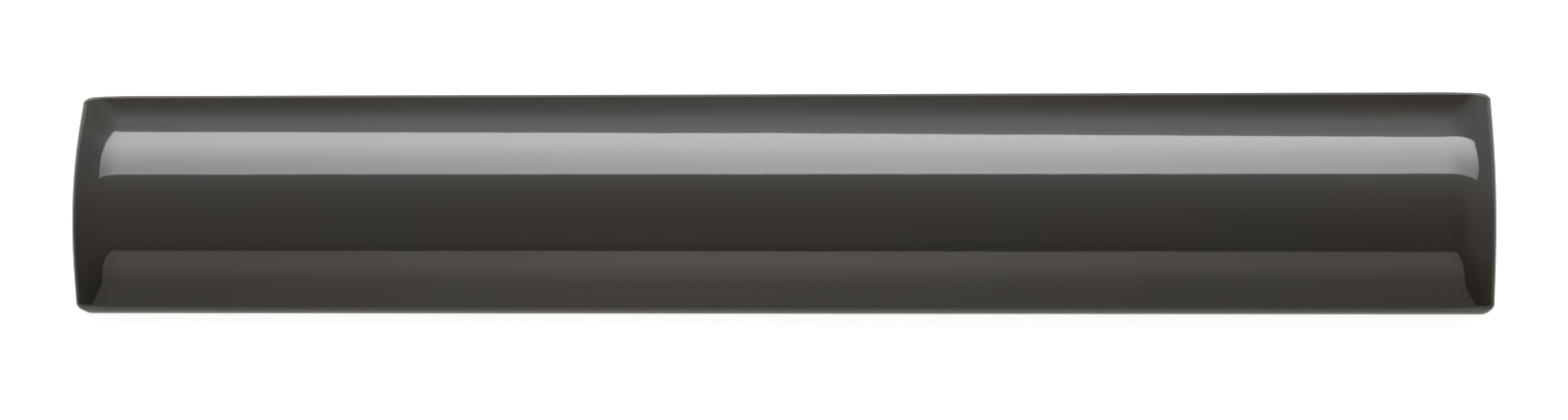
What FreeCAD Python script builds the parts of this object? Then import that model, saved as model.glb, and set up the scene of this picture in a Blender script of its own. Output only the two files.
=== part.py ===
import FreeCAD, Part
import math
import os
import Sketcher

# Bullnose trim tile: one piece of fired, glazed clay, D-shaped in section.
#
# The tile lies on its flat back. X runs along it, Y across it and Z up, out of the glazed face.
# The origin is the middle of the back. Every size is in millimetres.

OUT_FOLDER = "parts"
NODE = "bullnose_tile"
CLOSE = 1e-4
QUARTER_TURN = math.pi / 2
HALF_TURN_DEGREES = 180.0

SIZES = [
    ("tile_length", 152.0, "end to end"),
    ("tile_width", 23.4, "side wall to side wall"),
    ("tile_height", 8.0, "back to the top of the crown"),
    ("crown_radius", 18.0, "arc of the face, taken across the tile"),
    ("end_length", 5.3, "how far before each end the face starts to roll down"),
    ("end_drop", 2.3, "how far the face has rolled down where it meets the end wall"),
    ("side_radius", 1.2, "roll of the face down into each side wall, and the corners in plan"),
    ("foot_radius", 0.5, "soft arris all round the back"),
    ("key_width", 2.4, "keying groove in the back, from side to side"),
    ("key_depth", 0.8, "keying groove, into the clay"),
    ("key_pitch", 4.6, "middle of one keying groove to the middle of the next"),
    ("key_land", 9.0, "plain clay between the end of a groove and the end of the tile"),
    ("key_count", 4, "keying grooves side by side"),
]

# The middle of the crown's arc lies this far above the back, or below it where it is negative.
CROWN_MIDDLE = "(sizes.tile_height - sizes.crown_radius)"
HALF_CHORD = "sqrt(sizes.crown_radius * sizes.crown_radius - sizes.tile_width * sizes.tile_width / 4)"
# The side walls are this high, up to where the arc of the face meets them.
WALL = f"({CROWN_MIDDLE} + {HALF_CHORD})"
# The end roll leaves at least this share of the side wall standing at the corners, as a foot.
FOOT_SHARE = 0.1
FOOT_RISE = f"({FOOT_SHARE} * {WALL} - {CROWN_MIDDLE})"
FOOT_REACH = f"sqrt({FOOT_RISE} * {FOOT_RISE} + sizes.tile_width * sizes.tile_width / 4)"
END_DROP = f"min(sizes.end_drop; sizes.crown_radius - {FOOT_REACH})"
# The roll is a long slow arc that runs into a short quick one, whose radius is this share of the drop.
NOSE_SHARE = 0.6
NOSE = f"({NOSE_SHARE} * {END_DROP})"
# The side roll stays tighter than that short arc by this share, so that it can run round it.
SIDE_SHARE = 0.9
SIDE_ROLL = f"min(sizes.side_radius; {SIDE_SHARE} * {NOSE})"
# The cut of the end roll stands this far clear of the tile, outwards and upwards.
CLEAR = 2.0


def make_sheet(doc):
    """One row for each driving dimension, its value in column B under an alias."""
    sheet = doc.addObject("Spreadsheet::Sheet", "sizes")
    for row, (alias, value, meaning) in enumerate(SIZES, start=1):
        sheet.set(f"A{row}", alias)
        sheet.set(f"B{row}", str(value))
        sheet.set(f"C{row}", meaning)
        sheet.setAlias(f"B{row}", alias)
    doc.recompute()
    return sheet


def origin_feature(body, role):
    """A plane or an axis of the body's own origin."""
    return next(item for item in body.Origin.OriginFeatures if item.Role == role)


def new_sketch(body, name, role):
    """An empty sketch that lies on one of the body's origin planes."""
    sketch = body.newObject("Sketcher::SketchObject", name)
    sketch.AttachmentSupport = (origin_feature(body, role), [""])
    sketch.MapMode = "FlatFace"
    return sketch


def drive(sketch, name, constraint, expression):
    """Adds a constraint whose value follows the sheet."""
    index = sketch.addConstraint(constraint)
    sketch.renameConstraint(index, name)
    sketch.setExpression(f"Constraints.{name}", expression)


def point(x, y):
    return FreeCAD.Vector(x, y, 0)


def draw_section(sketch, sheet):
    """The D section: a flat back, two upright walls and one shallow arc over the top."""
    half = sheet.tile_width / 2
    crown_middle = sheet.tile_height - sheet.crown_radius
    wall_top = crown_middle + math.sqrt(sheet.crown_radius**2 - half**2)
    foot_left = point(-half, 0)
    foot_right = point(half, 0)
    top_left = point(-half, wall_top)
    top_right = point(half, wall_top)
    apex = point(0, sheet.tile_height)

    back = sketch.addGeometry(Part.LineSegment(foot_left, foot_right), False)
    right = sketch.addGeometry(Part.LineSegment(foot_right, top_right), False)
    crown = sketch.addGeometry(Part.Arc(top_right, apex, top_left), False)
    left = sketch.addGeometry(Part.LineSegment(top_left, foot_left), False)

    rule = Sketcher.Constraint
    sketch.addConstraint(rule("Coincident", back, 2, right, 1))
    sketch.addConstraint(rule("Coincident", right, 2, crown, 1))
    sketch.addConstraint(rule("Coincident", crown, 2, left, 1))
    sketch.addConstraint(rule("Coincident", left, 2, back, 1))
    sketch.addConstraint(rule("Vertical", right))
    sketch.addConstraint(rule("Vertical", left))
    sketch.addConstraint(rule("PointOnObject", back, 1, -1))
    sketch.addConstraint(rule("PointOnObject", back, 2, -1))
    sketch.addConstraint(rule("PointOnObject", crown, 3, -2))
    drive(sketch, "half_width", rule("DistanceX", -1, 1, back, 2, half), "sizes.tile_width / 2")
    drive(sketch, "width", rule("DistanceX", back, 1, back, 2, 2 * half), "sizes.tile_width")
    drive(sketch, "crown", rule("Radius", crown, sheet.crown_radius), "sizes.crown_radius")
    drive(sketch, "crown_middle", rule("DistanceY", -1, 1, crown, 3, crown_middle), CROWN_MIDDLE)


def end_roll_arcs(sketch, sheet):
    """The roll as a curve: a long slow arc leaves the level top and runs into a short quick one."""
    end = sheet.tile_length / 2
    length = sheet.end_length
    drop = sheet.end_drop
    nose = NOSE_SHARE * drop
    slow = (length**2 + drop**2 - 2 * length * nose) / (2 * (drop - nose))
    slow_middle = point(end - length, sheet.tile_height - slow)
    nose_middle = point(end - nose, sheet.tile_height - drop)
    meeting = math.atan2(nose_middle.y - slow_middle.y, nose_middle.x - slow_middle.x)
    up = FreeCAD.Vector(0, 0, 1)
    slow_circle = Part.Circle(slow_middle, up, slow)
    nose_circle = Part.Circle(nose_middle, up, nose)
    slow_arc = sketch.addGeometry(Part.ArcOfCircle(slow_circle, meeting, QUARTER_TURN), False)
    nose_arc = sketch.addGeometry(Part.ArcOfCircle(nose_circle, 0, meeting), False)
    return slow_arc, nose_arc


def end_roll_lines(sketch, sheet):
    """The straight sides that close the outline well outside the tile, and the crown's axis."""
    end = sheet.tile_length / 2
    top = sheet.tile_height
    start = point(end - sheet.end_length, top)
    finish = point(end, top - sheet.end_drop)
    outside_low = point(end + CLEAR, top - sheet.end_drop)
    outside_high = point(end + CLEAR, top + CLEAR)
    above_start = point(end - sheet.end_length, top + CLEAR)
    axis_start = point(0, top - sheet.crown_radius)
    axis_end = point(end, top - sheet.crown_radius)
    below = sketch.addGeometry(Part.LineSegment(finish, outside_low), False)
    beyond = sketch.addGeometry(Part.LineSegment(outside_low, outside_high), False)
    above = sketch.addGeometry(Part.LineSegment(outside_high, above_start), False)
    edge = sketch.addGeometry(Part.LineSegment(above_start, start), False)
    axis = sketch.addGeometry(Part.LineSegment(axis_start, axis_end), True)
    return below, beyond, above, edge, axis


def draw_end_roll(sketch, sheet):
    """The clay to take off one end, drawn on the tile's long middle plane."""
    slow, nose = end_roll_arcs(sketch, sheet)
    below, beyond, above, edge, axis = end_roll_lines(sketch, sheet)
    rule = Sketcher.Constraint
    sketch.addConstraint(rule("Tangent", slow, 1, nose, 2))
    sketch.addConstraint(rule("Coincident", nose, 1, below, 1))
    sketch.addConstraint(rule("Coincident", below, 2, beyond, 1))
    sketch.addConstraint(rule("Coincident", beyond, 2, above, 1))
    sketch.addConstraint(rule("Coincident", above, 2, edge, 1))
    sketch.addConstraint(rule("Coincident", edge, 2, slow, 2))
    sketch.addConstraint(rule("Horizontal", below))
    sketch.addConstraint(rule("Vertical", beyond))
    sketch.addConstraint(rule("Horizontal", above))
    sketch.addConstraint(rule("Vertical", edge))
    sketch.addConstraint(rule("Horizontal", axis))
    sketch.addConstraint(rule("PointOnObject", nose, 3, below))
    sketch.addConstraint(rule("PointOnObject", slow, 3, edge))
    sketch.addConstraint(rule("PointOnObject", axis, 1, -2))
    sketch.addConstraint(rule("Vertical", axis, 2, nose, 1))
    sketch.addConstraint(rule("DistanceX", below, 1, below, 2, CLEAR))
    sketch.addConstraint(rule("DistanceY", edge, 2, edge, 1, CLEAR))

    end = sheet.tile_length / 2
    top = sheet.tile_height
    length = sheet.end_length
    drop = sheet.end_drop
    crown_middle = top - sheet.crown_radius
    drive(sketch, "end", rule("DistanceX", -1, 1, nose, 1, end), "sizes.tile_length / 2")
    drive(sketch, "top", rule("DistanceY", -1, 1, slow, 2, top), "sizes.tile_height")
    drive(sketch, "length", rule("DistanceX", slow, 2, nose, 1, length), "sizes.end_length")
    drive(sketch, "drop", rule("DistanceY", nose, 1, slow, 2, drop), END_DROP)
    drive(sketch, "nose", rule("Radius", nose, NOSE_SHARE * drop), NOSE)
    drive(sketch, "axis", rule("DistanceY", -1, 1, axis, 1, crown_middle), CROWN_MIDDLE)


def draw_key(sketch, sheet):
    """The first keying groove seen from above: a long slot with round ends."""
    radius = sheet.key_width / 2
    reach = sheet.tile_length / 2 - sheet.key_land - radius
    across = -sheet.key_pitch * (sheet.key_count - 1) / 2
    near = across - radius
    far = across + radius
    up = FreeCAD.Vector(0, 0, 1)
    right_circle = Part.Circle(point(reach, across), up, radius)
    left_circle = Part.Circle(point(-reach, across), up, radius)

    near_side = sketch.addGeometry(Part.LineSegment(point(-reach, near), point(reach, near)), False)
    right_end = sketch.addGeometry(
        Part.ArcOfCircle(right_circle, -QUARTER_TURN, QUARTER_TURN), False
    )
    far_side = sketch.addGeometry(Part.LineSegment(point(reach, far), point(-reach, far)), False)
    left_end = sketch.addGeometry(
        Part.ArcOfCircle(left_circle, QUARTER_TURN, 3 * QUARTER_TURN), False
    )

    rule = Sketcher.Constraint
    sketch.addConstraint(rule("Tangent", near_side, 2, right_end, 1))
    sketch.addConstraint(rule("Tangent", right_end, 2, far_side, 1))
    sketch.addConstraint(rule("Tangent", far_side, 2, left_end, 1))
    sketch.addConstraint(rule("Tangent", left_end, 2, near_side, 1))
    sketch.addConstraint(rule("Horizontal", near_side))
    sketch.addConstraint(rule("Equal", right_end, left_end))
    reach_rule = "sizes.tile_length / 2 - sizes.key_land - sizes.key_width / 2"
    across_rule = "-sizes.key_pitch * (sizes.key_count - 1) / 2"
    drive(sketch, "radius", rule("Radius", right_end, radius), "sizes.key_width / 2")
    drive(sketch, "right_reach", rule("DistanceX", -1, 1, right_end, 3, reach), reach_rule)
    drive(sketch, "left_reach", rule("DistanceX", left_end, 3, -1, 1, reach), reach_rule)
    drive(sketch, "across", rule("DistanceY", -1, 1, right_end, 3, across), across_rule)


def edge_names(shape, wanted):
    """The names of the edges that a test picks out."""
    return [f"Edge{number}" for number, edge in enumerate(shape.Edges, start=1) if wanted(edge)]


def side_outline(shape, sheet):
    """The outline of each side wall, up one corner, over the top and down the other."""
    side = sheet.tile_width / 2

    def round_side(edge):
        box = edge.BoundBox
        flat = box.YLength < CLOSE and abs(abs(box.Center.y) - side) < CLOSE
        return flat and box.ZMax > CLOSE

    return edge_names(shape, round_side)


def back_outline(shape):
    """The whole outline of the back."""
    return edge_names(shape, lambda edge: edge.BoundBox.ZMax < CLOSE)


def add_fillet(body, base, name, edges, expression):
    """Rounds the named edges of a feature by a radius from the sheet."""
    fillet = body.newObject("PartDesign::Fillet", name)
    fillet.Base = (base, edges)
    fillet.setExpression("Radius", expression)
    body.Document.recompute()
    return fillet


def add_blank(body, sheet):
    """The D section pressed out along the whole length of the tile."""
    section = new_sketch(body, "section", "YZ_Plane")
    draw_section(section, sheet)
    blank = body.newObject("PartDesign::Pad", "blank")
    blank.Profile = section
    blank.SideType = "Symmetric"
    blank.setExpression("Length", "sizes.tile_length")
    body.Document.recompute()


def roll_ends(body, sheet):
    """The face rolls down into both ends: one end is turned about the crown's axis, then mirrored."""
    outline = new_sketch(body, "end_outline", "XZ_Plane")
    draw_end_roll(outline, sheet)
    roll = body.newObject("PartDesign::Groove", "end_roll")
    roll.Profile = outline
    roll.ReferenceAxis = (outline, ["Axis0"])
    roll.Midplane = True
    roll.Angle = HALF_TURN_DEGREES
    body.Document.recompute()

    both = body.newObject("PartDesign::Mirrored", "end_rolls")
    both.Originals = [roll]
    both.MirrorPlane = (origin_feature(body, "YZ_Plane"), [""])
    body.Tip = both
    body.Document.recompute()
    return both


def round_edges(body, ends, sheet):
    """The face also rolls over into both sides and all four corners, and the back gets an arris."""
    sides = add_fillet(body, ends, "side_rolls", side_outline(ends.Shape, sheet), SIDE_ROLL)
    return add_fillet(body, sides, "foot_arris", back_outline(sides.Shape), "sizes.foot_radius")


def cut_keys(body, sheet):
    """Shallow grooves along the back, which the tile adhesive grips."""
    outline = new_sketch(body, "key_outline", "XY_Plane")
    draw_key(outline, sheet)
    groove = body.newObject("PartDesign::Pocket", "key_groove")
    groove.Profile = outline
    groove.Reversed = True
    groove.setExpression("Length", "sizes.key_depth")
    body.Document.recompute()

    row = body.newObject("PartDesign::LinearPattern", "key_row")
    row.Originals = [groove]
    row.Direction = (origin_feature(body, "Y_Axis"), [""])
    row.Mode = "Spacing"
    row.setExpression("Offset", "sizes.key_pitch")
    row.setExpression("Occurrences", "sizes.key_count")
    body.Tip = row
    body.Document.recompute()
    return row


def groove_volume(sheet):
    """The clay that all keying grooves together take out of the tile."""
    radius = sheet.key_width / 2
    straight = sheet.tile_length - 2 * sheet.key_land - sheet.key_width
    floor_area = straight * sheet.key_width + math.pi * radius**2
    return sheet.key_count * sheet.key_depth * floor_area


def make_tile(doc, sheet):
    """The whole tile, as one body."""
    body = doc.addObject("PartDesign::Body", NODE)
    body.Label = NODE
    add_blank(body, sheet)
    rounded = round_edges(body, roll_ends(body, sheet), sheet)
    keyed = cut_keys(body, sheet)
    removed = rounded.Shape.Volume - keyed.Shape.Volume
    if abs(removed - groove_volume(sheet)) > 1e-3 * removed:
        raise RuntimeError(f"the keying grooves took out {removed:.1f} cubic mm")
    return body


def check_document(doc):
    """Stops if any object of the document failed to compute."""
    for item in doc.Objects:
        if "Invalid" in item.State or "Error" in item.State:
            raise RuntimeError(f"{item.Name} is {item.State}")


def write_step(body):
    """Writes the finished solid under its own name."""
    shape = body.Shape
    if shape.isNull() or not shape.isValid() or len(shape.Solids) != 1:
        raise RuntimeError(f"{body.Label} isn't one valid solid")
    os.makedirs(OUT_FOLDER, exist_ok=True)
    shape.exportStep(os.path.join(OUT_FOLDER, f"{body.Label}.step"))
    box = shape.BoundBox
    print(f"{body.Label}: {box.XLength:.2f} x {box.YLength:.2f} x {box.ZLength:.2f} mm,", end=" ")
    print(f"{shape.Volume / 1000:.2f} cubic cm, {len(shape.Faces)} faces")


def main():
    doc = FreeCAD.newDocument("bullnose_tile_model")
    sheet = make_sheet(doc)
    tile = make_tile(doc, sheet)
    doc.recompute()
    check_document(doc)
    write_step(tile)


main()
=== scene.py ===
# %% [markdown]
# # A bullnose trim tile
#
# The real object is one piece of pressed clay: a long narrow tile with a domed face whose edges roll
# over into all four sides. It was dipped in a dark glossy glaze and fired. Its back stays bare clay,
# with shallow grooves that the tile adhesive keys into.
#
# This lesson loads the solid model of the tile as a fixed frame, makes a finely divided surface over
# it with Geometry Nodes, and then gives that surface a glaze. All lengths are in metres, X runs along
# the tile, Y across it, and Z up out of the face. The tile lies on its back at Z = 0.

# %% Load the frame
import math

import bpy
from mathutils import Matrix, Vector


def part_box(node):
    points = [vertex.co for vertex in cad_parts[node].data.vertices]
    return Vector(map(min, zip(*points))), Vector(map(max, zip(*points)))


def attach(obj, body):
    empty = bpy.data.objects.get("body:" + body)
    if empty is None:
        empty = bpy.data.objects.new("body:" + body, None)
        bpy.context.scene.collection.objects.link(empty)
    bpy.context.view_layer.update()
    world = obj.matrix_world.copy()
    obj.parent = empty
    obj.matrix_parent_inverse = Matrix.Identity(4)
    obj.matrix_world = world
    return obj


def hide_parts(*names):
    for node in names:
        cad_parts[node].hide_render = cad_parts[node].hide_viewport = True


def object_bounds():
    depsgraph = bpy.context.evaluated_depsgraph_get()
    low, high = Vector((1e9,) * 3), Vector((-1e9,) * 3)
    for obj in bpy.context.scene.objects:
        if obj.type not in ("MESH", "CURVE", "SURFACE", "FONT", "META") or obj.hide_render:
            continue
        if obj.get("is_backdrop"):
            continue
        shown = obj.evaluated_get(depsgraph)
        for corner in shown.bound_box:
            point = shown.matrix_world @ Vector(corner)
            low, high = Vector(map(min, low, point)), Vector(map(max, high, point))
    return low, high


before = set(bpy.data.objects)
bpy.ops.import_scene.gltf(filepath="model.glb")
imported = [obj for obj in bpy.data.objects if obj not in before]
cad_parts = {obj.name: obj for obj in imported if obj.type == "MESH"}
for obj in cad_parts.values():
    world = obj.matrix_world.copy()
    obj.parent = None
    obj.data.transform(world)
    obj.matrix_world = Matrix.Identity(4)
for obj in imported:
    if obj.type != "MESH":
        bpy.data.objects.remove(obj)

TILE_NODE = "bullnose_tile"
MM = 0.001
solid_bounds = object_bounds()
solid_low, solid_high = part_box(TILE_NODE)
tile_size = solid_high - solid_low
print("solid tile:", [round(side / MM, 2) for side in tile_size], "mm")

# %% [markdown]
# ## Arithmetic for node trees
#
# A shape or a colour that follows a rule is a formula, and in Blender a formula is a chain of Math
# nodes. Dozens of such nodes are tiresome to wire by hand, one socket at a time. The small class below
# wraps a node's output so that `a * b + c` makes both Math nodes and their links. The same class
# serves geometry trees and shader trees, because both know the Math and the Map Range node.


# %% A value in a node tree
class Field:
    """The output of a node, which ordinary arithmetic can be written with."""

    def __init__(self, tree, socket):
        self.tree = tree
        self.socket = socket

    def math(self, operation, *others):
        """Makes one Math node from this value and up to two others."""
        node = self.tree.nodes.new("ShaderNodeMath")
        node.operation = operation
        for slot, value in zip(node.inputs, (self, *others)):
            feed(self.tree, slot, value)
        return Field(self.tree, node.outputs[0])

    def __add__(self, other):
        return self.math("ADD", other)

    def __sub__(self, other):
        return self.math("SUBTRACT", other)

    def __rsub__(self, other):
        return self * -1.0 + other

    def __mul__(self, other):
        return self.math("MULTIPLY", other)

    def __truediv__(self, other):
        return self.math("DIVIDE", other)

    def __pow__(self, other):
        return self.math("POWER", other)

    __rmul__ = __mul__

    def ramp(self, low, high, start=0.0, end=1.0, kind="SMOOTHSTEP"):
        """Runs from start to end as this value goes from low to high, and stays there outside."""
        node = self.tree.nodes.new("ShaderNodeMapRange")
        node.interpolation_type = kind
        for slot, value in zip(node.inputs, (self, low, high, start, end)):
            feed(self.tree, slot, value)
        return Field(self.tree, node.outputs[0])


def feed(tree, slot, value):
    """Gives an input either a link or a plain value."""
    if isinstance(value, Field):
        tree.links.new(value.socket, slot)
    else:
        slot.default_value = value


trial = bpy.data.node_groups.new("trial", "ShaderNodeTree")
answer = Field(trial, trial.nodes.new("ShaderNodeValue").outputs[0]) * 2.0 + 1.0
last_step = answer.socket.node.operation.lower()
print("a * 2 + 1 made", len(trial.nodes) - 1, "Math nodes, and the last one is to", last_step)
bpy.data.node_groups.remove(trial)

# %% [markdown]
# Five more helpers keep the trees short. `add_node` makes a node with its settings and its inputs in
# one call, and `output` gives one of its outputs as a field. `split` and `join` take a vector apart
# and put it together, and `blend` goes from one value to another.


# %% Nodes and vectors
def add_node(tree, kind, values=None, **settings):
    """Makes a node, with its settings and the values of its named inputs."""
    node = tree.nodes.new(kind)
    for name, value in settings.items():
        setattr(node, name, value)
    for name, value in (values or {}).items():
        feed(tree, node.inputs[name], value)
    return node


def output(node, name=0):
    """One output of a node, as a field."""
    return Field(node.id_data, node.outputs[name])


def split(tree, vector):
    """The three parts of a vector."""
    node = add_node(tree, "ShaderNodeSeparateXYZ", {"Vector": vector})
    return [output(node, axis) for axis in "XYZ"]


def join(tree, parts):
    """One vector from three parts."""
    return output(add_node(tree, "ShaderNodeCombineXYZ", dict(zip("XYZ", parts))))


def blend(low, high, share):
    """From low to high as share goes from 0 to 1."""
    return (high - low) * share + low


print("a quarter of the way from 2 to 6 is", blend(2.0, 6.0, 0.25))

# %% [markdown]
# ## The form of the tile
#
# A maker presses the tile in a die: a flat bar whose long face is domed, with soft edges everywhere.
# It could be modelled by hand with a bevel modifier on a box, but then the dome, the roll of the ends
# and the roll of the sides would each need their own passes. Every part of this shape follows a rule,
# so Geometry Nodes can state the whole of it as one formula on the points of a finely divided cube.
#
# The rule has four steps. The points are spread so that they lie close together near the edges, where
# the form turns quickly. Each point beyond a smaller inner box is pulled onto an ellipsoid round that
# box, which rounds the edges: long low rolls at the two ends, a tight one along the sides, small
# corners in plan and a fine arris at the foot. Then the face is lowered towards the sides, and the
# flat bar becomes a dome. Last, the back gets its grooves.
#
# The rolls at the ends are what makes this tile a bullnose, and they are the hardest part of it. In
# the photograph the reflections bend down over each end, and they show that the roll is longest and
# deepest in the middle of the end and gets shorter and shallower towards the two corners. So the end
# roll and its drop have a second size each, for the sides, and the side roll has one for the ends.
#
# The first cell holds the sizes. The whole tile takes its size from the solid. Only its long sides
# stand out a tenth of a millimetre further, because the glaze ran down there and gathered. The rest
# are sizes that the pressing die and the kiln give it.

# %% Sizes of the form
SIDE_COAT = 0.1 * MM
FORM = {
    "Length": tile_size.x,
    "Width": tile_size.y + 2 * SIDE_COAT,
    "Height": tile_size.z,
    "Crown radius": 18.0 * MM,
    "End roll": 5.3 * MM,
    "End roll at sides": 2.65 * MM,
    "End drop": 2.6 * MM,
    "End drop at sides": 1.35 * MM,
    "Side roll": 0.45 * MM,
    "Side roll at ends": 0.7 * MM,
    "Side drop": 0.75 * MM,
    "Corner length": 1.3 * MM,
    "Corner width": 0.85 * MM,
    "Foot": 0.5 * MM,
    "Key width": 2.4 * MM,
    "Key depth": 0.8 * MM,
    "Key pitch": 4.6 * MM,
    "Key land": 9.0 * MM,
    "Key count": 4.0,
    "Wave height": 0.025 * MM,
    "Wave length": 30.0 * MM,
    "Glaze line": 0.10 * MM,
    "Glaze fade": 2.4 * MM,
}
half_width = FORM["Width"] / 2
dome_height = FORM["Crown radius"] - math.sqrt(FORM["Crown radius"] ** 2 - half_width**2)
print("dome above the side walls:", round(dome_height / MM, 2), "mm")

# %% [markdown]
# The first helpers work out how large the roundings are at any place of the block. They take fields
# and return fields, so they read as the formula would on paper.
#
# A roll or a reach is how far a rounding goes in from the side, and a drop is how far it goes down.
# `near_end` is 0 at the end of the tile and -1 where the roll of the end begins, and `near_edge` goes
# the same way over the width of a corner. The pairs called `CHANGE` say between which two of those
# values one size turns into another. The foot's rounding widens at the four corners, so that each
# corner is equally round all the way down. `ROLL_NARROWING` is a high power, which keeps the end's
# roll long over most of the width and shortens it only close to the sides.

# %% Sizes of the roundings at a place
ROLL_NARROWING = 6.0
DROP_CHANGE = (-2.0, -0.5)
SIDE_CHANGE = (-1.0, 0.0)
FOOT_CHANGE = (-1.5, 0.0)


def face_rolls(x, y, size):
    """The roll of the end, the roll of the side, the drop of both, and how near the end is."""
    near_side = (y.math("ABSOLUTE") / (size["Width"] * 0.5)) ** ROLL_NARROWING
    end_roll = blend(size["End roll"], size["End roll at sides"], near_side)
    end_drop = blend(size["End drop"], size["End drop at sides"], near_side)
    near_end = (x.math("ABSOLUTE") - size["Length"] * 0.5) / end_roll
    side_roll = blend(size["Side roll"], size["Side roll at ends"], near_end.ramp(*SIDE_CHANGE))
    drop = blend(size["Side drop"], end_drop, near_end.ramp(*DROP_CHANGE))
    return end_roll, side_roll, drop, near_end


def foot_rolls(y, near_end, size):
    """How far the foot's rounding reaches in from the end and from the side."""
    near_edge = (y.math("ABSOLUTE") - size["Width"] * 0.5) / size["Corner width"]
    from_end = blend(size["Foot"], size["Corner length"], near_edge.ramp(*FOOT_CHANGE))
    from_side = blend(size["Foot"], size["Corner width"], near_end.ramp(*SIDE_CHANGE))
    return from_end, from_side


print("the end roll goes from", round(FORM["End roll"] / MM, 2), "mm in the middle", end=" ")
print("to", round(FORM["End roll at sides"] / MM, 2), "mm at the sides")

# %% [markdown]
# The next cell writes the first three steps. `spread` moves the points of the cube towards its edges.
# `round_over` finds the nearest point of the inner box, its core, and pulls each point onto the
# ellipsoid round it. In it, `turn` is 0 on the upright walls, where the corners of the plan count, and
# 1 on the face and the back, where the rolls do. `dome_sag` is how much lower the dome lies at a place
# than its crown. It counts in full on the face, less and less down the side wall, and not at all at
# the foot.


# %% The rules of the face
def spread(part, power):
    """Points of the cube, from -1 to 1, drawn towards both ends."""
    inside = 1.0 - part.math("ABSOLUTE")
    return part.math("SIGN") * (1.0 - inside**power)


def held(part, reach):
    """A part of a position, held between -reach and reach."""
    return part.math("MINIMUM", reach).math("MAXIMUM", reach * -1.0)


def dome_sag(y, z, drop, size):
    """How far the dome lowers a place."""
    radius = size["Crown radius"]
    sag = radius - (radius * radius - y * y).math("SQRT")
    share = (z - size["Foot"]) / (size["Height"] - drop - size["Foot"])
    return sag * share.math("MAXIMUM", 0.0).math("MINIMUM", 1.0)


def round_over(place, size):
    """Pulls the points of a plain block onto a domed block with rolled edges."""
    x, y, z = place
    end_roll, side_roll, face_drop, near_end = face_rolls(x, y, size)
    foot_from_end, foot_from_side = foot_rolls(y, near_end, size)
    middle = size["Height"] * 0.5
    upper = z.math("GREATER_THAN", 0.0)
    drop = blend(size["Foot"], face_drop, upper)
    core_z = z.math("MINIMUM", middle - face_drop).math("MAXIMUM", size["Foot"] - middle)
    out_z = (z - core_z) / drop
    turn = out_z.math("ABSOLUTE").ramp(0.0, 1.0)
    reach_x = blend(size["Corner length"], blend(foot_from_end, end_roll, upper), turn)
    reach_y = blend(size["Corner width"], blend(foot_from_side, side_roll, upper), turn)
    core_x = held(x, size["Length"] * 0.5 - reach_x)
    core_y = held(y, size["Width"] * 0.5 - reach_y)
    out_x = (x - core_x) / reach_x
    out_y = (y - core_y) / reach_y
    length = (out_x * out_x + out_y * out_y + out_z * out_z).math("SQRT")
    x = core_x + reach_x * out_x / length
    y = core_y + reach_y * out_y / length
    z = core_z + drop * out_z / length + middle
    return x, y, z - dome_sag(y, z, face_drop, size)


side_wall = FORM["Height"] - dome_height
print("the side walls are", round(side_wall / MM, 2), "mm high, with their roll and their foot")

# %% [markdown]
# ## The back
#
# The photograph shows only the face. A tile like this is fixed by its back, and its maker presses
# shallow grooves there, so that the adhesive gets a hold. `key_grooves` says how deep the back is cut
# at any place: four long slots side by side, with round ends, that stop short of the tile's ends.

# %% The rule of the back
KEY_DRAFT = 0.25 * MM


def key_grooves(x, y, size):
    """How deep the back is cut at a place: a row of long slots with round ends."""
    pitch = size["Key pitch"]
    row = pitch * size["Key count"]
    radius = size["Key width"] * 0.5
    reach = size["Length"] * 0.5 - size["Key land"] - radius
    beside = (y + row * 0.5).math("FLOORED_MODULO", pitch) - pitch * 0.5
    beyond = (x.math("ABSOLUTE") - reach).math("MAXIMUM", 0.0)
    away = (beside * beside + beyond * beyond).math("SQRT")
    within_row = (row * 0.5).math("GREATER_THAN", y.math("ABSOLUTE"))
    return away.ramp(radius - KEY_DRAFT, radius + KEY_DRAFT, 1.0, 0.0) * within_row * size["Key depth"]


key_row = [index - (FORM["Key count"] - 1) / 2 for index in range(int(FORM["Key count"]))]
key_places = [round(place * FORM["Key pitch"] / MM, 1) for place in key_row]
print("grooves lie at", key_places, "mm across the back")

# %% [markdown]
# ## What the kiln does
#
# Fired clay is never quite true. It moves a little in the kiln, and the glaze lies a little thicker in
# one place than in another, so a long reflection on it wavers. `waver` pushes the surface in and out
# by a few hundredths of a millimetre with a broad noise of a fixed seed. It fades out towards the
# back, because a tile sits flat.
#
# A Set Position node does the pushing. Several nodes in a row take in geometry and put it out again,
# and `pass_through` adds one more of them.

# %% Kiln movement
WAVE_SEED = 3.7


def pass_through(tree, kind, geometry, **values):
    """Sends geometry through one more node and gives back what comes out."""
    return output(add_node(tree, kind, {"Geometry": geometry, **values}))


def broad_noise(tree, place, wave_length):
    """A smooth noise between about -1 and 1, with one swell to each wave length."""
    values = {"Vector": place, "Scale": wave_length**-1.0, "Detail": 1.0, "W": WAVE_SEED}
    node = add_node(tree, "ShaderNodeTexNoise", values, noise_dimensions="4D")
    return (output(node) - 0.5) * 2.0


def waver(tree, geometry, size):
    """Pushes the surface of the tile gently in and out."""
    place = output(add_node(tree, "GeometryNodeInputPosition"))
    outwards = output(add_node(tree, "GeometryNodeInputNormal"))
    lift = split(tree, place)[2].ramp(0.0, size["Height"] * 0.5)
    swell = broad_noise(tree, place, size["Wave length"]) * size["Wave height"] * lift
    values = {"Vector": outwards, "Scale": swell}
    push = add_node(tree, "ShaderNodeVectorMath", values, operation="SCALE")
    return pass_through(tree, "GeometryNodeSetPosition", geometry, Offset=output(push))


print("the kiln moves the face by up to", round(FORM["Wave height"] / MM, 3), "mm")

# %% [markdown]
# The glaze itself thins where it runs off steep places and towards the foot. `glaze_depth` works that
# out from the height and the slope. The tree stores it as an attribute, and the material reads it
# later. A slope of 1 is level, 0 is an upright wall, and below 0 the surface turns under. The lower
# edge of the glaze is uneven, and its waves are a fifth as long as those of the kiln.

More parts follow.
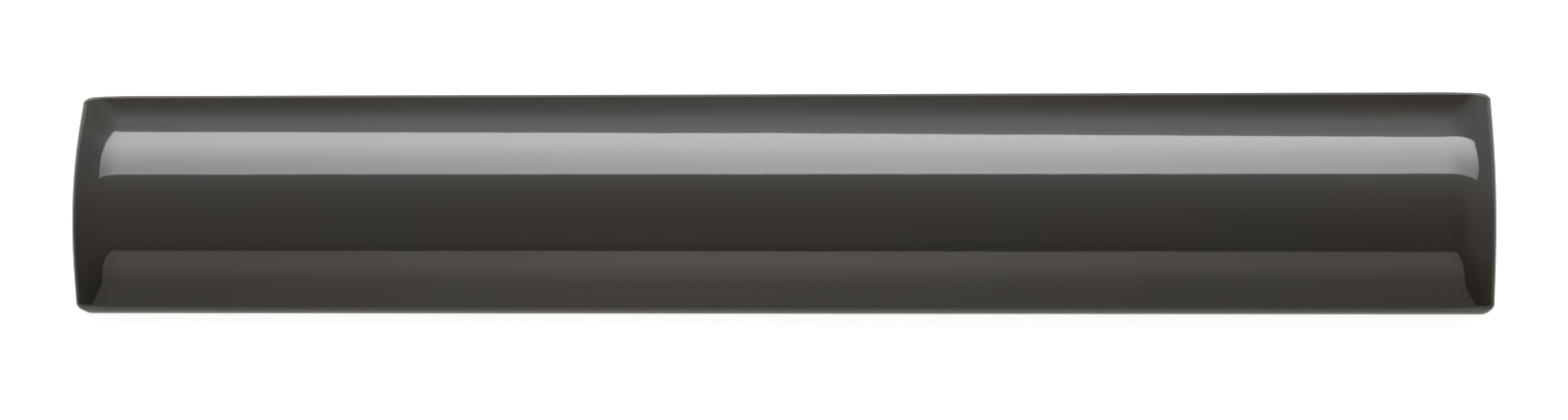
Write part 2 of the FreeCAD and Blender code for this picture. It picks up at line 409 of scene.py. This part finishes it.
# %% Glaze thickness
RUN_WAVE = 0.2
RUN_HEIGHT = 0.3 * MM
STEEP_SLOPES = (-0.3, 0.6)
STEEP_DEPTH = 0.7


def glaze_depth(tree, size):
    """How thick the glaze lies, from 0 at the back to 1 on the face."""
    place = output(add_node(tree, "GeometryNodeInputPosition"))
    height = split(tree, place)[2]
    slope = split(tree, output(add_node(tree, "GeometryNodeInputNormal")))[2]
    ragged = broad_noise(tree, place, size["Wave length"] * RUN_WAVE) * RUN_HEIGHT
    risen = (height + ragged).ramp(size["Glaze line"], size["Glaze line"] + size["Glaze fade"])
    return risen * slope.ramp(*STEEP_SLOPES, STEEP_DEPTH, 1.0)


whole_glaze = FORM["Glaze line"] + FORM["Glaze fade"]
print("the glaze is whole about", round(whole_glaze / MM, 1), "mm above the back")

# %% [markdown]
# ## The tree
#
# Now the tree itself. Each size in `FORM` becomes a named input of the group, so anyone can open the
# group and drag a value. It starts with a cube that is divided into rows, more along the tile than
# across it. `SPREAD` says how strongly each direction's rows are drawn to the edges, and `BACK_SLACK`
# how close to Z = 0 a point counts as lying on the back, where the grooves are cut.

# %% Shape the block
ROWS = (200, 140, 34)
SPREAD = (1.7, 1.5, 1.6)
BACK_SLACK = 0.01 * MM


def tree_sockets(tree):
    """The group's named inputs and its output."""
    sockets = tree.interface
    sockets.new_socket("Geometry", in_out="INPUT", socket_type="NodeSocketGeometry")
    for name in FORM:
        sockets.new_socket(name, in_out="INPUT", socket_type="NodeSocketFloat")
    for name in ("Glaze", "Clay"):
        sockets.new_socket(name, in_out="INPUT", socket_type="NodeSocketMaterial")
    sockets.new_socket("Geometry", in_out="OUTPUT", socket_type="NodeSocketGeometry")


def shaped_block(tree, size):
    """The finely divided cube, moved into the form of the tile."""
    rows = dict(zip(("Vertices X", "Vertices Y", "Vertices Z"), ROWS))
    block = add_node(tree, "GeometryNodeMeshCube", {"Size": (2.0, 2.0, 2.0), **rows})
    start = split(tree, output(add_node(tree, "GeometryNodeInputPosition")))
    sides = (size["Length"], size["Width"], size["Height"])
    place = [spread(part, power) * side * 0.5 for part, power, side in zip(start, SPREAD, sides)]
    x, y, z = round_over(place, size)
    on_back = (z * -1.0).ramp(-BACK_SLACK, 0.0, kind="LINEAR")
    z = z + key_grooves(x, y, size) * on_back
    moved = join(tree, (x, y, z))
    return pass_through(tree, "GeometryNodeSetPosition", output(block, "Mesh"), Position=moved)


print("points along the tile's length, width and height:", ROWS)

# %% [markdown]
# The shaped block goes through the kiln, gets its thickness of glaze as an attribute, and is smooth
# shaded. The tree ends in Realize Instances and two Set Material nodes: glaze for the whole tile, then
# bare clay for the back and its grooves. `bare_back` picks those by their place. They lie lower than
# the grooves are deep, and further in than the rounding of the foot.

# %% Build the tree
GROOVE_MARGIN = 1.01


def bare_back(tree, size):
    """Picks the faces of the back and of its grooves."""
    x, y, z = split(tree, output(add_node(tree, "GeometryNodeInputPosition")))
    chosen = (size["Key depth"] * GROOVE_MARGIN).math("GREATER_THAN", z)
    for part, side in ((x, "Length"), (y, "Width")):
        within = (size[side] * 0.5 - size["Foot"]).math("GREATER_THAN", part.math("ABSOLUTE"))
        chosen = chosen * within
    return chosen


def form_tree():
    """The node tree that makes the whole tile."""
    tree = bpy.data.node_groups.new("tile form", "GeometryNodeTree")
    tree_sockets(tree)
    inputs = tree.nodes.new("NodeGroupInput")
    size = {name: output(inputs, name) for name in FORM}
    tile = waver(tree, shaped_block(tree, size), size)
    depth = glaze_depth(tree, size)
    tile = pass_through(tree, "GeometryNodeStoreNamedAttribute", tile, Name="glaze", Value=depth)
    tile = pass_through(tree, "GeometryNodeSetShadeSmooth", tile)
    tile = pass_through(tree, "GeometryNodeRealizeInstances", tile)
    tile = pass_through(tree, "GeometryNodeSetMaterial", tile, Material=output(inputs, "Glaze"))
    bare = {"Material": output(inputs, "Clay"), "Selection": bare_back(tree, size)}
    tile = pass_through(tree, "GeometryNodeSetMaterial", tile, **bare)
    feed(tree, tree.nodes.new("NodeGroupOutput").inputs["Geometry"], tile)
    return tree


tile_tree = form_tree()
print("the tree has", len(tile_tree.nodes), "nodes and", len(FORM), "sizes as inputs")

# %% [markdown]
# A modifier runs the tree on an object. A named input of the group is set on the modifier by the
# identifier of its socket, and all of them are set before Blender works the tree out for the first
# time. The result is then kept as a plain mesh, and the modifier and its object go away again: what
# stays is one closed mesh at the origin.


# %% Run the tree
def input_id(tree, name):
    """The identifier of a named input, which a modifier's value is set by."""
    for item in tree.interface.items_tree:
        if item.item_type == "SOCKET" and item.in_out == "INPUT" and item.name == name:
            return item.identifier
    raise KeyError(name)


def make_tile(tree, materials):
    """Runs the tree and keeps its result as a plain mesh at the origin."""
    maker = bpy.data.objects.new("tile_maker", bpy.data.meshes.new("tile_maker"))
    bpy.context.scene.collection.objects.link(maker)
    modifier = maker.modifiers.new("form", "NODES")
    modifier.node_group = tree
    for name, value in {**FORM, **materials}.items():
        modifier[input_id(tree, name)] = value
    depsgraph = bpy.context.evaluated_depsgraph_get()
    mesh = bpy.data.meshes.new_from_object(maker.evaluated_get(depsgraph))
    maker.modifiers.remove(modifier)
    bpy.data.objects.remove(maker)
    mesh.name = "glazed_tile"
    tile = bpy.data.objects.new("glazed_tile", mesh)
    bpy.context.scene.collection.objects.link(tile)
    return tile


print("the length of the tile is set through", input_id(tile_tree, "Length"))

# %% [markdown]
# ## Two effects that both finishes share
#
# Glaze and bare clay are very different to look at, but both are uneven in the same two ways. Both
# have soft patches of a slightly other shade, and both have small scattered pits: pinholes where gas
# left the glaze, and pores in the clay. Each effect is a shader node group, built once and placed in
# each material with its own numbers. Groups like these put out only masks, so the shader itself stays
# in the material.

# %% Shared shader groups
PATCH_SPAN = (0.3, 0.7)
PIT_FLOOR = 0.4


def effect_group(name, inputs):
    """A shader group with a Vector input, number inputs and a Mask output."""
    group = bpy.data.node_groups.new(name, "ShaderNodeTree")
    group.interface.new_socket("Vector", in_out="INPUT", socket_type="NodeSocketVector")
    for socket in inputs:
        group.interface.new_socket(socket, in_out="INPUT", socket_type="NodeSocketFloat")
    group.interface.new_socket("Mask", in_out="OUTPUT", socket_type="NodeSocketFloat")
    return group, group.nodes.new("NodeGroupInput"), group.nodes.new("NodeGroupOutput")


def patch_group():
    """Soft patches: 0 to 1, about as wide as Width."""
    group, given, result = effect_group("soft patches", ("Width", "Detail"))
    scale = output(given, "Width") ** -1.0
    values = {"Vector": output(given, "Vector"), "Scale": scale, "Detail": output(given, "Detail")}
    noise = add_node(group, "ShaderNodeTexNoise", values)
    feed(group, result.inputs["Mask"], output(noise).ramp(*PATCH_SPAN))
    return group


def pit_group():
    """Scattered round pits: 1 in a pit and 0 outside, kept in a Share of the cells."""
    group, given, result = effect_group("scattered pits", ("Spacing", "Radius", "Share"))
    scale = output(given, "Spacing") ** -1.0
    cells = add_node(group, "ShaderNodeTexVoronoi", {"Vector": output(given, "Vector"), "Scale": scale})
    away = output(cells, "Distance") * output(given, "Spacing")
    radius = output(given, "Radius")
    dot = away.ramp(radius * PIT_FLOOR, radius, 1.0, 0.0)
    draw = split(group, output(cells, "Color"))[0]
    chosen = output(given, "Share").math("GREATER_THAN", draw)
    feed(group, result.inputs["Mask"], dot * chosen)
    return group


patches = patch_group()
pits = pit_group()
for group in (patches, pits):
    print("group", group.name, "has", len(group.nodes), "nodes")

# %% [markdown]
# Both materials also start in the same way: with the object's own coordinates, which stay with the
# tile when it is moved, so the patches don't swim. The helpers below make such a material, place an
# effect group in it, mix two colours and turn a height into a bump. The Mix node has inputs for
# numbers, vectors and colours side by side under the same names, so those for colours are found by
# their places.

# %% Helpers for a material
MIX_INPUTS = (0, 6, 7)
MIX_RESULT = 2


def effect(tree, group, place, **numbers):
    """Places an effect group in a material and gives back its mask."""
    return output(add_node(tree, "ShaderNodeGroup", {"Vector": place, **numbers}, node_tree=group))


def colours(tree, share, low, high):
    """A colour between two others."""
    node = add_node(tree, "ShaderNodeMix", data_type="RGBA")
    for index, value in zip(MIX_INPUTS, (share, low, high)):
        feed(tree, node.inputs[index], value)
    return output(node, MIX_RESULT)


def new_material(name):
    """A material with its tree, its shader and the object's own coordinates."""
    material = bpy.data.materials.new(name)
    material.use_nodes = True
    tree = material.node_tree
    place = output(tree.nodes.new("ShaderNodeTexCoord"), "Object")
    return material, tree, tree.nodes["Principled BSDF"], place


def bump(tree, height, distance, strength):
    """A bump from a height field."""
    values = {"Height": height, "Distance": distance, "Strength": strength}
    return output(add_node(tree, "ShaderNodeBump", values))


pit_inputs = [item.name for item in pits.interface.items_tree if item.in_out == "INPUT"]
print("the group", pits.name, "takes", pit_inputs)

# %% [markdown]
# ## Bare clay
#
# Where no glaze lies, the fired body shows: a pale buff, dry and quite rough, with pores and a faint
# speckle of darker grains. A plain colour would do from afar, but the back fills the view when the
# tile is turned over, so it gets patches, pores and speckles, and the pores are pressed in with bump.

# %% Clay
CLAY_PALE = (0.56, 0.47, 0.36, 1.0)
CLAY_DARK = (0.40, 0.31, 0.225, 1.0)
CLAY_GRAIN = (0.16, 0.11, 0.075, 1.0)
CLAY_ROUGHNESS = 0.85
GRIT_HEIGHT = 0.5


def clay_colour(tree, place):
    """The colour of the fired body, which also shows where the glaze was wiped off."""
    cloud = effect(tree, patches, place, Width=9.0 * MM, Detail=5.0)
    grains = effect(tree, pits, place, Spacing=0.9 * MM, Radius=0.16 * MM, Share=0.35)
    return colours(tree, grains, colours(tree, cloud, CLAY_PALE, CLAY_DARK), CLAY_GRAIN)


def clay_material():
    """The dry, speckled, porous body of the tile."""
    material, tree, shader, place = new_material("bare clay")
    feed(tree, shader.inputs["Base Color"], clay_colour(tree, place))
    shader.inputs["Roughness"].default_value = CLAY_ROUGHNESS
    grit = effect(tree, patches, place, Width=0.35 * MM, Detail=3.0)
    pores = effect(tree, pits, place, Spacing=1.3 * MM, Radius=0.25 * MM, Share=0.4)
    relief = bump(tree, grit * GRIT_HEIGHT - pores, distance=0.06 * MM, strength=0.8)
    feed(tree, shader.inputs["Normal"], relief)
    return material


clay = clay_material()
print(clay.name, "has", len(clay.node_tree.nodes), "nodes")

# %% [markdown]
# ## Glaze
#
# The glaze is a coat of glass, coloured a brown-black by iron, over the clay. Three things make it
# look like glaze and not like paint. It is a mirror with the weak reflection of glass, so most of what
# is seen on it is the lamps and the room. It breaks brown where it is thin, along the rolled edges and
# above the foot, because the clay shows through. And it is not quite even: there are faint patches in
# the colour, a few pinholes, and a very shallow ripple in the surface.
#
# The thickness comes from the attribute that the form's tree stored. The foot was wiped clean before
# firing, so that the tile wouldn't stick to its shelf, and bare clay shows below a slightly ragged
# line. The colour, the roughness and the bump vary over the surface and are linked; the refractive
# index is the same everywhere and is set on the shader's own socket.

# %% Glaze
GLAZE_DEEP = (0.0156, 0.0131, 0.0106, 1.0)
GLAZE_CLOUD = (0.0144, 0.0130, 0.0110, 1.0)
GLAZE_BREAK = (0.105, 0.068, 0.045, 1.0)
GLAZE_THINS = (0.05, 0.95)
GLAZE_ROUGHNESS = 0.035
PINHOLE_ROUGHNESS = 0.3
PINHOLE_DEPTH = 6.0
WIPED_TO = 0.70 * MM
WIPED_EDGE = 0.10 * MM
WIPED_RAGGED = 0.25 * MM
GLASS_INDEX = 1.5


def glaze_material():
    """Dark glass over the clay, which breaks brown where it thins."""
    material, tree, shader, place = new_material("charcoal glaze")
    depth = output(add_node(tree, "ShaderNodeAttribute", attribute_name="glaze"), "Fac")
    cloud = effect(tree, patches, place, Width=16.0 * MM, Detail=4.0)
    pinholes = effect(tree, pits, place, Spacing=9.0 * MM, Radius=0.14 * MM, Share=0.22)
    deep = colours(tree, cloud, GLAZE_DEEP, GLAZE_CLOUD)
    broken = colours(tree, depth.ramp(*GLAZE_THINS), GLAZE_BREAK, deep)
    ragged = effect(tree, patches, place, Width=6.0 * MM, Detail=2.0) * WIPED_RAGGED
    coat = (split(tree, place)[2] + ragged).ramp(WIPED_TO, WIPED_TO + WIPED_EDGE)
    feed(tree, shader.inputs["Base Color"], colours(tree, coat, clay_colour(tree, place), broken))
    roughness = blend(CLAY_ROUGHNESS, GLAZE_ROUGHNESS, coat) + pinholes * PINHOLE_ROUGHNESS
    feed(tree, shader.inputs["Roughness"], roughness)
    ripple = effect(tree, patches, place, Width=5.0 * MM, Detail=1.0)
    relief = bump(tree, ripple - pinholes * PINHOLE_DEPTH, distance=0.004 * MM, strength=0.6)
    feed(tree, shader.inputs["Normal"], relief)
    shader.inputs["IOR"].default_value = GLASS_INDEX
    return material


glaze = glaze_material()
facing_mirror = ((GLASS_INDEX - 1) / (GLASS_INDEX + 1)) ** 2
print(glaze.name, "sends back", round(facing_mirror * 100, 1), "% of the light that meets it head on")

# %% [markdown]
# ## The tile in one piece
#
# The tree now runs once. Its result is turned into a plain mesh, one for the one body that the tile
# is, and it takes the place of the plainer solid.

# %% Make the tile
tile = make_tile(tile_tree, {"Glaze": glaze, "Clay": clay})
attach(tile, "root")
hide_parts(TILE_NODE)
tile.data.calc_loop_triangles()
print("tile mesh:", len(tile.data.vertices), "points,", len(tile.data.loop_triangles), "triangles")

# %% [markdown]
# ## Camera
#
# The photograph looks down on the tile from almost straight above. Four things show where the camera
# stood. The tile is a little wider at its right end, so the camera is nearer to that end. A low rim of
# the near side wall shows, so it leans back a little. The ends of a straight tile bow outwards, because
# the crown is nearer to the lens than the edges are, and more so at the left. And the long edges run
# level, so it was turned by half a degree. The lens is then as long as it takes to fill the frame.

# %% Camera
VIEW_TURN = math.radians(3.785)
VIEW_TILT = math.radians(8.0)
VIEW_ROLL = math.radians(0.479)
VIEW_DISTANCE = 399.8 * MM
AIM_RIGHT = 0.531 * MM
AIM_UP = -0.445 * MM
LENS = 84.95
SENSOR = 36.0


def make_camera():
    """A camera whose back axis leans from the vertical by two angles."""
    data = bpy.data.cameras.new("camera")
    data.lens = LENS
    data.sensor_width = SENSOR
    data.clip_start = 0.01
    data.clip_end = 20.0
    camera = bpy.data.objects.new("camera", data)
    back = Vector((
        math.sin(VIEW_TURN) * math.cos(VIEW_TILT),
        -math.sin(VIEW_TILT),
        math.cos(VIEW_TURN) * math.cos(VIEW_TILT),
    ))
    right = Vector((0, 1, 0)).cross(back).normalized()
    up = back.cross(right)
    stand = right * AIM_RIGHT + up * AIM_UP + back * VIEW_DISTANCE
    turned = Matrix.Rotation(VIEW_ROLL, 3, back)
    basis = Matrix((turned @ right, turned @ up, back)).transposed().to_4x4()
    camera.matrix_world = Matrix.Translation(stand) @ basis
    bpy.context.scene.collection.objects.link(camera)
    bpy.context.scene.camera = camera
    print("camera stands at", [round(part / MM) for part in stand], "mm")


make_camera()

# %% [markdown]
# ## Floor
#
# The tile lies on a plain pale floor. In the photograph the ground is so bright that hardly a shadow
# is left on it, yet what the glaze mirrors near its edges is much dimmer, and warmer and lighter on the
# far side than on the near one. Both can be had with the Light Path node. A ray from the camera meets
# the floor with a good deal of light added, a ray from the mirror of the glaze with a painted warm glow
# that grows towards the far side, and any other ray meets the dull floor alone. That glow is painted
# light: it stands in for the panel's light falling on the floor beyond the tile.
#
# The floor lies a hair below the tile. Two faces at exactly the same height would fight over which of
# them is in front, and the back would flicker when it is seen from below.

# %% Floor
FLOOR_REACH = 3.0
FLOOR_GAP = 0.02 * MM
FLOOR_SHADE = 0.45
FLOOR_SEEN = 0.82
FLOOR_PAINTED_GLOW = (0.10, 0.75)
FLOOR_RISE = (-0.02, 0.04)
FLOOR_TINT = (1.0, 0.90, 0.76, 1.0)
WHITE = (1.0, 1.0, 1.0, 1.0)


def stage_plane(name, corners, material):
    """A flat stage object with straight sides."""
    mesh = bpy.data.meshes.new(name)
    mesh.from_pydata(corners, [], [range(len(corners))])
    mesh.materials.append(material)
    made = bpy.data.objects.new(name, mesh)
    bpy.context.scene.collection.objects.link(made)
    made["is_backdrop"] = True
    return made


def floor_material():
    """A dull pale floor, with more light for the camera, and a painted glow for the mirror of the
    glaze.
    """
    material, tree, shader, place = new_material("pale floor")
    shader.inputs["Base Color"].default_value = (FLOOR_SHADE, FLOOR_SHADE, FLOOR_SHADE, 1.0)
    shader.inputs["Roughness"].default_value = 0.9
    shader.inputs["Specular IOR Level"].default_value = 0.0
    ray = tree.nodes.new("ShaderNodeLightPath")
    # Painted light: a warm glow seen only in the glaze's mirror, lighter on the far side, in place of
    # the panel's light on the floor.
    painted_glow = split(tree, place)[1].ramp(*FLOOR_RISE, *FLOOR_PAINTED_GLOW)
    extra = output(ray, "Is Camera Ray") * FLOOR_SEEN + output(ray, "Is Glossy Ray") * painted_glow
    tint = colours(tree, output(ray, "Is Camera Ray"), FLOOR_TINT, WHITE)
    glow = add_node(tree, "ShaderNodeEmission", {"Color": tint, "Strength": extra})
    lit = tree.nodes.new("ShaderNodeAddShader")
    tree.links.new(shader.outputs[0], lit.inputs[0])
    tree.links.new(glow.outputs[0], lit.inputs[1])
    tree.links.new(lit.outputs[0], tree.nodes["Material Output"].inputs[0])
    return material


square = [(-1, -1), (1, -1), (1, 1), (-1, 1)]
floor_corners = [(x * FLOOR_REACH, y * FLOOR_REACH, -FLOOR_GAP) for x, y in square]
floor = stage_plane("floor", floor_corners, floor_material())
floor_sides = [round(side, 1) for side in floor.dimensions]
print("floor:", floor_sides, "m,", FLOOR_GAP / MM, "mm below the tile")

# %% [markdown]
# ## Light
#
# A glossy dark thing shows its lights more than itself, so the lights are placed by what the tile
# mirrors. The bright band along it is a wide soft panel, hung level over the far side. The fainter
# band along the near side is an upright pale board in front. An area light would do for a plain
# rectangle, but the bands have slanting ends and uneven light, so both are glowing planes with an
# outline of their own, hidden from the camera.
#
# Each plane's light is a formula on its own coordinates. It goes from the level `near` to the level
# `far` between `start` and `end`, along Y (`axis` 1) for the panel and upwards along Z (`axis` 2) for
# the board. To either side of `middle` it falls off, slowly where the spread is large, but never below
# the share `rest`. At last `right_lift` adds some light at the right end, where the photograph's band
# is lighter again.

# %% A glowing plane
WARM = (1.0, 0.935, 0.84, 1.0)
COOL = (0.98, 0.995, 1.0, 1.0)
LIFT_SPAN = (0.2, 0.8)


def glow_material(name, colour, light):
    """Light that goes from near to far along one axis, and falls off to either side along X."""
    material = bpy.data.materials.new(name)
    material.use_nodes = True
    tree = material.node_tree
    tree.nodes.clear()
    place = split(tree, output(tree.nodes.new("ShaderNodeTexCoord"), "Object"))
    share = place[light["axis"]].ramp(light["start"], light["end"])
    off = (place[0] - light["middle"]) / blend(light["near_spread"], light["far_spread"], share)
    level = blend(light["near"], light["far"], share)
    level = level * blend((off * off + 1.0) ** -1.0, 1.0, light["rest"])
    level = level * place[0].ramp(*LIFT_SPAN, 1.0, 1.0 + light["right_lift"])
    glow = add_node(tree, "ShaderNodeEmission", {"Color": colour, "Strength": level})
    tree.links.new(glow.outputs[0], tree.nodes.new("ShaderNodeOutputMaterial").inputs[0])
    return material


def hang(name, corners, material):
    """Hangs a glowing plane where the camera doesn't see it."""
    plane = stage_plane(name, corners, material)
    plane.visible_camera = False
    plane.visible_shadow = False
    print(name, "is", round(sum(face.area for face in plane.data.polygons), 2), "square metres")


print("warm light has", round((1 - WARM[2] / COOL[2]) * 100), "% less blue in it than cool light")

# %% [markdown]
# The panel is a soft light nearly two metres long, much larger than the tile. Its outline is that of
# the bright band, carried back along the rays that the glaze mirrors. The band has slanting ends with
# drawn-out tips, so the panel has them too.

# %% The panel over the far side
PANEL_HEIGHT = 0.80
PANEL_OUTLINE = [
    (-0.71, 0.36),
    (0.16, 0.335),
    (0.92, 0.355),
    (1.12, 0.56),
    (1.16, 0.72),
    (1.09, 1.08),
    (0.78, 1.04),
    (0.20, 0.95),
    (-0.09, 1.105),
    (-0.585, 1.25),
    (-0.74, 0.96),
    (-0.78, 0.70),
]
PANEL_LIGHT = {
    "axis": 1,
    "near": 8.4,
    "far": 11.5,
    "start": 0.35,
    "end": 0.95,
    "middle": 0.0,
    "near_spread": 0.38,
    "far_spread": 0.80,
    "rest": 0.20,
    "right_lift": 0.35,
}
panel_corners = [(x, y, PANEL_HEIGHT) for x, y in PANEL_OUTLINE]
hang("soft_panel", panel_corners, glow_material("panel light", COOL, PANEL_LIGHT))

# %% [markdown]
# The board stands upright in front of the tile, half a metre away. It is much fainter than the panel
# and a little warm, like a pale card that only sends on the light of the room.

# %% The board in front
BOARD_AWAY = 0.50
BOARD_OUTLINE = [
    (-0.43, 0.02),
    (0.41, 0.02),
    (0.30, 0.36),
    (0.375, 0.57),
    (0.375, 0.70),
    (0.33, 0.82),
    (-0.39, 0.86),
    (-0.475, 0.72),
    (-0.49, 0.58),
    (-0.39, 0.38),
    (-0.42, 0.28),
]
BOARD_LIGHT = {
    "axis": 2,
    "near": 0.96,
    "far": 1.72,
    "start": 0.30,
    "end": 0.64,
    "middle": -0.06,
    "near_spread": 0.16,
    "far_spread": 0.16,
    "rest": 0.52,
    "right_lift": 0.0,
}
board_corners = [(x, -BOARD_AWAY, z) for x, z in BOARD_OUTLINE]
hang("pale_board", board_corners, glow_material("board light", WARM, BOARD_LIGHT))

# %% [markdown]
# ## The room
#
# Between and around the two bands the tile mirrors the rest of the studio. It isn't worth building,
# because a mirror this weak and this curved shows only how bright each direction is. So the room is
# the world's shader, a level over the direction that a ray goes. Y says how far a direction leans to
# the far side: -1 is level towards the viewer, 0 leans neither way and 1 is level away. X says in the
# same way how far it leans to the right, and `aside` how far it is from the glow's middle to either
# side.
#
# The walls come first. `profile` follows a list of stops, each a place in Y and the level there. The
# walls are dim near the ground, a little lighter to the right, and darker again in the two corners of
# the room on the far side.

# %% The walls of the room
RAMP_TOP = 3.0
RAMP_SPAN = 2.2
ROOM_WALLS = [
    (-0.85, 0.02),
    (-0.65, 0.05),
    (-0.50, 0.20),
    (-0.39, 0.38),
    (-0.16, 0.43),
    (0.08, 0.60),
    (0.20, 0.69),
    (0.37, 0.85),
    (0.60, 0.80),
    (0.80, 0.80),
    (0.88, 0.70),
    (0.94, 0.16),
    (0.98, 0.06),
]
ROOM_WIDTH = (-1.0, 0.9)
ROOM_SIDES = (0.65, 1.15)
CORNERS_ASIDE = (0.2, 0.6)
CORNERS_BEYOND = (0.3, 0.6)
CORNERS_APART = (-0.6, 0.6)
CORNER_LEVELS = (0.68, 0.85)


def profile(tree, lean, stops):
    """A level that follows a list of stops over how far a direction leans to the far side."""
    node = tree.nodes.new("ShaderNodeValToRGB")
    feed(tree, node.inputs[0], (lean + 1.0) / RAMP_SPAN)
    points = node.color_ramp.elements
    points.remove(points[1])
    for index, (place, level) in enumerate(stops):
        position = (place + 1.0) / RAMP_SPAN
        point = points[0] if index == 0 else points.new(position)
        point.position = position
        point.color = (level / RAMP_TOP,) * 3 + (1.0,)
    return output(node) * RAMP_TOP


def wall_level(tree, x, y, aside):
    """How bright the walls are in a direction."""
    walls = profile(tree, y, ROOM_WALLS) * x.ramp(*ROOM_WIDTH, *ROOM_SIDES, kind="LINEAR")
    corner = x.ramp(*CORNERS_APART, *CORNER_LEVELS)
    return walls * blend(1.0, corner, aside.ramp(*CORNERS_ASIDE) * y.ramp(*CORNERS_BEYOND))


wall_levels = [level for place, level in ROOM_WALLS]
print("the walls go from a level of", min(wall_levels), "to", max(wall_levels))

# %% [markdown]
# The second part is light that spills round the panel. It is strongest in the middle and soon gone to
# either side, and it narrows towards the ground. To either side the same level lies a little higher
# up, and towards the two far corners the glow fades.

# %% The glow round the panel
ROOM_GLOW = [
    (0.20, 0.0),
    (0.37, 0.20),
    (0.60, 0.75),
    (0.80, 2.30),
    (0.84, 1.65),
    (0.89, 1.40),
    (0.93, 1.28),
    (0.965, 0.75),
    (0.99, 0.50),
    (1.02, 0.15),
    (1.06, 0.0),
]
GLOW_MIDDLE = -0.07
GLOW_NARROWS = (0.90, 0.98)
GLOW_SPREAD = (0.60, 0.26)
GLOW_FALL = -2.0
GLOW_SKEW = 0.22
FADE_ASIDE = (0.12, 0.40)
FADE_BEYOND = (0.83, 0.95)
FADE_SLANT = 0.1
FADE_SHARE = 0.6


def glow_level(tree, x, y, aside):
    """How bright the glow round the panel is in a direction."""
    off = aside / y.ramp(*GLOW_NARROWS, *GLOW_SPREAD)
    lean = y + aside * GLOW_SKEW
    fade = aside.ramp(*FADE_ASIDE) * (lean - x * FADE_SLANT).ramp(*FADE_BEYOND) * FADE_SHARE
    return profile(tree, lean, ROOM_GLOW) * (off * off + 1.0) ** GLOW_FALL * (1.0 - fade)


brightest = max(ROOM_GLOW, key=lambda stop: stop[1])
height_angle = math.degrees(math.acos(brightest[0]))
print("the glow is strongest", round(height_angle), "degrees above the ground on the far side")

# %% [markdown]
# Overhead, a little to the right, the dark shape of the camera takes most of the light away, which
# makes the dark middle of the tile. It reaches twice as far along Y as along X.
#
# This cell puts the three parts together as the world. The camera itself sees a plain pale grey behind
# the floor, where it sees past the floor at all. The picture is shown with the Standard transform,
# because the photograph's white ground has no grey in it.

# %% The world
SHADE_PLACE = (0.28, -0.38)
SHADE_REACH = 0.40
SHADE_TALL = 2.0
SHADE_DEPTH = 0.78
TINT_SPAN = (-0.2, 0.5)


def camera_shade(x, y):
    """The share of light that the dark shape of the camera lets through."""
    beside = x - SHADE_PLACE[0]
    beyond = (y - SHADE_PLACE[1]) / SHADE_TALL
    away = (beside * beside + beyond * beyond).math("SQRT")
    return away.ramp(0.0, SHADE_REACH, 1.0 - SHADE_DEPTH, 1.0)


def make_room():
    """The world, which the camera itself sees as a plain pale grey."""
    world = bpy.data.worlds.new("studio")
    world.use_nodes = True
    bpy.context.scene.world = world
    tree = world.node_tree
    x, y, _ = split(tree, output(tree.nodes.new("ShaderNodeTexCoord"), "Generated"))
    aside = (x - GLOW_MIDDLE).math("ABSOLUTE")
    level = (wall_level(tree, x, y, aside) + glow_level(tree, x, y, aside)) * camera_shade(x, y)
    room = tree.nodes["Background"]
    feed(tree, room.inputs["Color"], colours(tree, y.ramp(*TINT_SPAN), WARM, COOL))
    feed(tree, room.inputs["Strength"], level)
    plain = tree.nodes.new("ShaderNodeBackground")
    seen = tree.nodes.new("ShaderNodeMixShader")
    tree.links.new(tree.nodes.new("ShaderNodeLightPath").outputs["Is Camera Ray"], seen.inputs[0])
    tree.links.new(room.outputs[0], seen.inputs[1])
    tree.links.new(plain.outputs[0], seen.inputs[2])
    tree.links.new(seen.outputs[0], tree.nodes["World Output"].inputs[0])
    print("the room's world has", len(tree.nodes), "nodes")


make_room()
bpy.context.scene.view_settings.view_transform = "Standard"

# %% [markdown]
# ## Finish
#
# The box of the visible tile is printed beside the box of the solid, so that the two can be compared.

# %% Record the two boxes and finish
shown_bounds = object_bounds()
boxes = {"solid": solid_bounds, "shown": shown_bounds}
for name, box in boxes.items():
    print(name, "box:", [[round(part / MM, 2) for part in corner] for corner in box], "mm")
